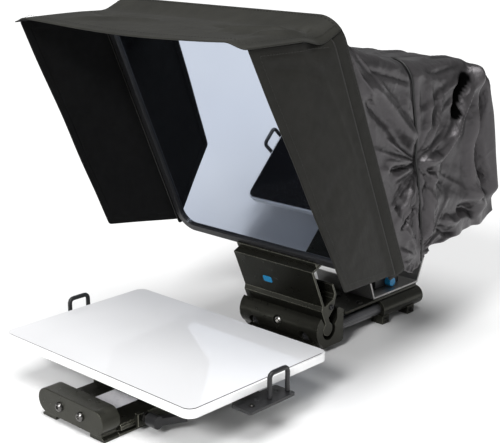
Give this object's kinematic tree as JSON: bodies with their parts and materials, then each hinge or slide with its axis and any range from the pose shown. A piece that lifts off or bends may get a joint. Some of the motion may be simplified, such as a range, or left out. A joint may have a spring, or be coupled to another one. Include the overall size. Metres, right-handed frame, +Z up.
{
  "type": "teleprompter",
  "caption": "Tablet teleprompter with a tilting beamsplitter hood, fabric flaps, a sliding tablet tray and a camera tray on rods.",
  "frame": {"origin": "middle of the footprint, on the plane that the rail's feet stand on", "axes": "+X to the camera operator's right as seen from the reader, +Y from the reader to the camera along the rail, +Z up"},
  "size_m": [0.373, 0.5634, 0.4153],
  "materials": {
    "anodised": "olive-black satin anodised extrusion with bright edges",
    "black_plastic": "black satin plastic",
    "fabric": "matt woven fabric over stiffening boards",
    "nylon": "thin black nylon with a silky sheen",
    "coated_glass": "partly mirrored beamsplitter coating",
    "tablet_shell": "pale shell",
    "tablet_screen": "switched-off glossy screen that reflects the pale room",
    "carbon": "carbon fibre with a diagonal weave",
    "steel": "plain steel fasteners",
    "blue": "sky blue",
    "label": "blank white label"
  },
  "bodies": {
    "base": {"rail": "anodised", "front_end_block": "anodised", "end_screw_left": "steel", "end_screw_right": "steel", "rail_label": "label", "hinge_base": "anodised", "tilt_lock_screw": "steel", "rod_bolt_left": "black_plastic", "rod_bolt_right": "black_plastic", "rod_left": "carbon", "rod_right": "carbon"},
    "hood": {"glass_holder": "anodised", "holder_screw_left": "black_plastic", "holder_screw_right": "black_plastic", "frame_channel": "anodised", "badge": "blue", "glass_frame": "black_plastic", "beamsplitter_glass": "coated_glass", "hood_band": "fabric", "rear_shroud": "nylon"},
    "flap_left": {"front_flap_left": "fabric"},
    "flap_right": {"front_flap_right": "fabric"},
    "visor": {"top_visor": "fabric"},
    "tray": {"tray_carriage": "anodised", "tray_riser": "anodised", "tray_cross_bar": "anodised", "tablet_rest_plate": "anodised", "tablet_body": "tablet_shell", "tablet_screen": "tablet_screen", "lever_stud": "steel"},
    "lever": {"lock_lever": "black_plastic"},
    "clamp_left": {"clamp_plate_left": "black_plastic", "clamp_hoop_left": "black_plastic", "clamp_screw_left": "steel"},
    "clamp_right": {"clamp_plate_right": "black_plastic", "clamp_hoop_right": "black_plastic", "clamp_screw_right": "steel"},
    "carriage": {"rod_clamp": "anodised", "rod_clamp_screw_front_left": "steel", "rod_clamp_screw_front_right": "steel", "rod_clamp_screw_rear_left": "steel", "rod_clamp_screw_rear_right": "steel", "camera_base_plate": "anodised", "plate_screw_left": "steel", "plate_screw_middle": "steel", "plate_screw_right": "steel", "camera_tray": "anodised", "quick_release_base": "black_plastic"},
    "knob": {"release_knob": "blue"},
    "quick_plate": {"quick_release_plate": "black_plastic"},
    "screw": {"camera_screw": "steel"}
  },
  "joints": [
    {"name": "hood_tilt", "type": "hinge", "parent": "base", "child": "hood", "pos_m": [0, 0.05965, 0.0305], "axis": [1, 0, 0], "range_deg": [-12, 6]},
    {"name": "flap_left_fold", "type": "hinge", "parent": "hood", "child": "flap_left", "pos_m": [-0.16725, -0.02793, 0.2616], "axis": [0, 0.3955, -0.9184], "range_deg": [0, 75]},
    {"name": "flap_right_fold", "type": "hinge", "parent": "hood", "child": "flap_right", "pos_m": [0.16725, -0.02793, 0.2616], "axis": [0, -0.3955, 0.9184], "range_deg": [0, 75]},
    {"name": "visor_lift", "type": "hinge", "parent": "hood", "child": "visor", "pos_m": [0, -0.08726, 0.39937], "axis": [-1, 0, 0], "range_deg": [0, 70]},
    {"name": "tray_slide", "type": "slide", "parent": "base", "child": "tray", "axis": [0, 1, 0], "range_m": [-0.016, 0.075]},
    {"name": "tray_lock", "type": "hinge", "parent": "tray", "child": "lever", "pos_m": [0.073, -0.22785, 0.0155], "axis": [1, 0, 0], "range_deg": [0, 90]},
    {"name": "clamp_left_slide", "type": "slide", "parent": "tray", "child": "clamp_left", "axis": [-1, 0, 0], "range_m": [0, 0.025]},
    {"name": "clamp_right_slide", "type": "slide", "parent": "tray", "child": "clamp_right", "axis": [1, 0, 0], "range_m": [0, 0.025]},
    {"name": "carriage_slide", "type": "slide", "parent": "base", "child": "carriage", "axis": [0, 1, 0], "range_m": [-0.018, 0.04]},
    {"name": "release_turn", "type": "hinge", "parent": "carriage", "child": "knob", "pos_m": [0.032, 0.22265, 0.0434], "axis": [1, 0, 0], "range_deg": [0, 85]},
    {"name": "quick_plate_slide", "type": "slide", "parent": "carriage", "child": "quick_plate", "axis": [0, 1, 0], "range_m": [-0.012, 0.012]},
    {"name": "camera_screw_turn", "type": "hinge", "parent": "quick_plate", "child": "screw", "pos_m": [0, 0.22265, 0.0485], "axis": [0, 0, 1], "continuous": true}
  ]
}
